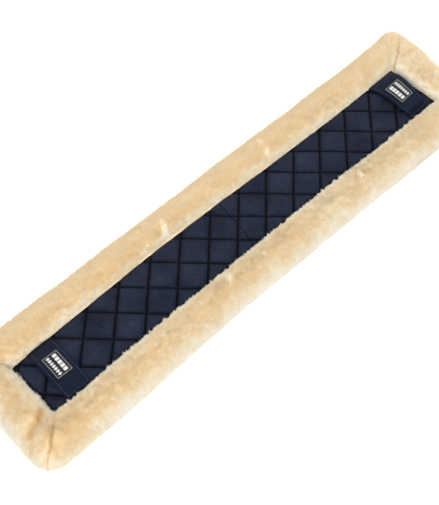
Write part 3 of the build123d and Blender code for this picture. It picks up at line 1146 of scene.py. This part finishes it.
# ============ keepers and labels
def keeper_surface(segment):
    """The mid surface of a keeper band, as a function of place along and across the strip."""
    low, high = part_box(f"keeper_band_{segment}")
    middle, half = (low.x + high.x) / 2, (high.x - low.x) / 2 + 1 * MM
    keeper = KEEPERS[segment]
    near, far = keeper["rise"]
    foot = PANEL_TOP + 1.0 * MM

    def surface(x, y):
        outward = keeper["sign"] * (x - middle) / half
        rise = near + (far - near) * (outward + 1) / 2
        arch = np.clip(1 - (abs(y) / KEEPER_REACH) ** 2.4, 0, 1) ** 0.9
        sag = 0.5 * MM * plan_noise(x, y, 16 * MM, 61) * arch
        roll = 0.35 * MM * outward ** 4
        pinch = 1.6 * MM * arch * fade(y - keeper["tuck"], 1.8 * MM)
        flare = keeper["flare"] * (outward + 1) / 2 * smoothstep(-0.6, 1.0, y / PANEL_Y)
        bow = 0.5 * MM * plan_noise(x, y, 30 * MM, 62)
        return np.stack([x + flare + bow, y, foot + rise * arch + sag - roll - pinch], -1)

    return surface, middle, half


def build_keepers():
    for segment in KEEPERS:
        surface, middle, half = keeper_surface(segment)

        def on_band(x, y):
            return surface(x, y) + (0, 0, KEEPER_THICK / 2)

        band = keeper_band(segment, surface, middle, half)
        stitching = keeper_stitching(segment, on_band, middle, half)
        build_label(segment, on_band)


def keeper_band(segment, surface, middle, half):
    x = middle + half * np.linspace(-1, 1, 33)
    x, y = plan_grid(x, np.linspace(-KEEPER_REACH, KEEPER_REACH, 79))
    thickness = KEEPER_THICK * (1 - 0.55 * abs((x - middle) / half) ** 10)
    hem = 0.22 * MM * fade(abs(x - middle) - half + KEEPER_HEM, 0.5 * MM)
    up = np.array([0, 0, 1])
    top = surface(x, y) + (thickness / 2 - hem)[..., None] * up
    bottom = surface(x, y) - (thickness / 2)[..., None] * up
    obj = solid_between(f"keeper_{segment}", top, bottom)
    y = vertex_places(obj)[:, 1]
    tuck = KEEPERS[segment]["tuck"]
    # Painted shade: a dark line where the band tucks under and a darker band beyond it.
    fold = 0.8 * fade(y - tuck, 1.3 * MM) + 0.5 * smoothstep(0, 3 * MM, (tuck - y) * -np.sign(tuck))
    point_values(obj, sunken=np.clip(fold, 0, 1))
    return segment_piece(obj, "keeper_webbing", segment, f"keeper_band_{segment}")


def keeper_stitching(segment, on_band, middle, half):
    """Topstitching along both hems and across both sewn ends of a band."""
    y = np.arange(-PANEL_Y + 2.5 * MM, PANEL_Y - 2.5 * MM, 2.6 * MM)
    x = np.arange(middle - half + 4 * MM, middle + half - 3.5 * MM, 2.6 * MM)
    lines = [places_along(middle + side * (half - KEEPER_HEM), y, 0, 1) for side in (-1, 1)]
    lines += [places_along(x, side * (PANEL_Y - 4.5 * MM), 1, 0) for side in (-1, 1)]
    obj = surface_stitches(
        f"keeper_topstitching_{segment}", np.vstack(lines), (2.0, 0.42, 0.3), -0.02 * MM, on_band)
    return segment_piece(obj, "topstitch_thread", segment, f"keeper_stitching_{segment}")


def patch(surface, low_x, high_x, low_y, high_y, lift, thick, step=1.2 * MM):
    """Top and bottom grids of a thin patch that lies on a surface."""
    x, y = plan_grid(*(
        np.linspace(low, high, max(int((high - low) / step), 1) + 1)
        for low, high in ((low_x, high_x), (low_y, high_y))
    ))
    return between(surface(x, y), lift, thick)


def between(base, lift, thick):
    """Top and bottom grids at a height over a base, and so thick."""
    return base + (0, 0, lift + thick), base + (0, 0, lift)


def joined(name, solids):
    """Several closed patches as one piece."""
    made = [solid_between(f"{name}_part", *solid) for solid in solids]
    with bpy.context.temp_override(active_object=made[0], selected_editable_objects=made):
        bpy.ops.object.join()
    made[0].name = made[0].data.name = name
    return made[0]


def build_label(segment, on_band):
    low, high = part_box(f"woven_label_{segment}")
    thick = high.z - low.z
    x0, y0 = (low.x + high.x) / 2, (low.y + high.y) / 2
    half_x, half_y = (high.x - low.x) / 2, (high.y - low.y) / 2
    cloth = patch(on_band, x0 - half_x, x0 + half_x, y0 - half_y, y0 + half_y, 0, thick, 0.8 * MM)
    label = solid_between(f"label_{segment}", *cloth)
    segment_piece(label, "label_cloth", segment, f"woven_label_{segment}")

    raised = {"lift": thick - 0.02 * MM, "thick": 0.22 * MM}
    line, margin = 0.36 * MM, 1.3 * MM
    west, east = x0 - (half_x - margin), x0 + (half_x - margin)
    south, north = y0 - (half_y - margin), y0 + (half_y - margin)
    bars = [(west, east, south, south + line), (west, east, north - line, north)]
    bars += [(x, x + line, south + line, north - line) for x in (west, east - line)]
    frame_line = joined(f"label_frame_{segment}", [patch(on_band, *bar, **raised) for bar in bars])
    segment_piece(frame_line, "label_thread", segment, f"label_border_{segment}", material="label_line")

    inward = -KEEPERS[segment]["sign"]
    block_x, diamond_x = x0 + inward * 4.0 * MM, x0 - inward * 4.4 * MM
    motif = []
    for step in range(-2, 3):
        y = y0 + step * 5.3 * MM
        block = (block_x - 2.5 * MM, block_x + 2.5 * MM, y - 2.0 * MM, y + 2.0 * MM)
        motif.append(patch(on_band, *block, **raised))
    for step in range(-3, 4):
        motif.append(diamond(on_band, diamond_x, y0 + step * 3.9 * MM, 3.6 * MM, **raised))
    obj = joined(f"label_motif_{segment}", motif)
    segment_piece(obj, "label_thread", segment)


def diamond(surface, x, y, size, lift, thick):
    """Top and bottom grids of a small diamond, longer along the strip than across it."""
    a = np.linspace(-size / 2, size / 2, 3)
    a, b = plan_grid(a, a)
    return between(surface(x + (a - b) * 0.75, y + (a + b) * 0.5), lift, thick)


# ============ mitre seams
def mitre_line(skin, along, across):
    """Places and normals down the bottom of one corner's mitre groove."""
    columns, rows = (
        slice(SECTION_STEPS - 1, None, -1) if way < 0 else slice(-SECTION_STEPS, None)
        for way in (along, across)
    )
    points, normals = skin["top"][columns, rows], skin["top_normals"][columns, rows]
    offset = abs(mitre_offset(points[..., 0], points[..., 1]))
    found = []
    for ring in range(2, SECTION_STEPS):
        cells = [(ring, k) for k in range(ring + 1)] + [(k, ring) for k in range(ring)]
        found.append(min(cells, key=lambda cell: offset[cell]))
    found = tuple(np.array(found).T)
    return smoothed(points[found]), unit(smoothed(normals[found]))


def smoothed(line):
    """The line with its inner points averaged with their neighbours."""
    line = line.copy()
    for _ in range(3):
        line[1:-1] = (line[:-2] + 2 * line[1:-1] + line[2:]) / 4
    return line


def build_mitre_seams(skin):
    """A sunken line of backing along each mitre, lying in the skin's groove."""
    for side, across in (("front", -1), ("rear", 1)):
        for segment, along in (("left_end", -1), ("right_end", 1)):
            line, normals = mitre_line(skin, along, across)
            sideways = unit(np.cross(normals, np.gradient(line, axis=0)))
            spread = np.array([-0.7, 0, 0.7]) * MM
            top = line[:, None] + spread[None, :, None] * sideways[:, None] + 0.5 * MM * normals[:, None]
            bottom = top - 1.2 * MM * normals[:, None]
            if along * across > 0:
                top, bottom = top[:, ::-1], bottom[:, ::-1]
            node = f"mitre_seam_{side}_{segment}"
            segment_piece(solid_between(f"{node}_line", top, bottom), "fleece_backing", segment, node)


# ============ stage
def build_stage():
    bpy.ops.mesh.primitive_plane_add(size=12, location=(0, 0, 0))
    floor = bpy.context.object
    floor.name = "floor"
    floor.data.materials.append(Shader("floor").surface(
        Base_Color=grey(0.82), Roughness=0.9, Specular_IOR_Level=0.1,
        Emission_Color=grey(1.0), Emission_Strength=0.3,
    ))

    world = bpy.data.worlds.new("studio")
    world.use_nodes = True
    background = world.node_tree.nodes["Background"]
    background.inputs["Color"].default_value = (1, 1, 1, 1)
    background.inputs["Strength"].default_value = 1.0
    bpy.context.scene.world = world
    bpy.context.scene.view_settings.view_transform = "Standard"

    for name, place, size, power in (
        ("key", (0.2, 0.9, 2.55), 1.6, 34),
        ("fill", (-1.25, -1.6, 1.8), 2.2, 60),
        ("side", (1.7, -0.3, 0.35), 1.2, 9),
    ):
        lamp = bpy.data.lights.new(name, "AREA")
        lamp.size = size
        lamp.energy = power
        obj = new_object(name, lamp)
        obj.location = place
        obj.rotation_mode = "QUATERNION"
        obj.rotation_quaternion = (-Vector(place)).to_track_quat("-Z", "Y")


CAMERA_TARGET = (-54.1 * MM, -10.8 * MM, PANEL_TOP)
CAMERA_DISTANCE = 1.0547
CAMERA_AZIMUTH, CAMERA_ELEVATION, CAMERA_ROLL = -41.6, 58.3, -1.78
CAMERA_LENS = 61.54


def build_camera():
    lens = bpy.data.cameras.new("camera")
    lens.lens = CAMERA_LENS
    lens.sensor_width = 36
    camera = new_object("camera", lens)
    a, e = math.radians(CAMERA_AZIMUTH), math.radians(CAMERA_ELEVATION)
    back = Vector((math.sin(a) * math.cos(e), -math.cos(a) * math.cos(e), math.sin(e)))
    camera.location = Vector(CAMERA_TARGET) + back * CAMERA_DISTANCE
    turn = (-back).to_track_quat("-Z", "Y").to_matrix() @ Matrix.Rotation(math.radians(CAMERA_ROLL), 3, "Z")
    camera.rotation_mode = "QUATERNION"
    camera.rotation_quaternion = turn.to_quaternion()
    bpy.context.scene.camera = camera


build_camera()
build_stage()
skin = make_skin()
build_skin(skin)
build_pile(skin)
build_panel()
build_panel_stitching()
build_keepers()
build_mitre_seams(skin)
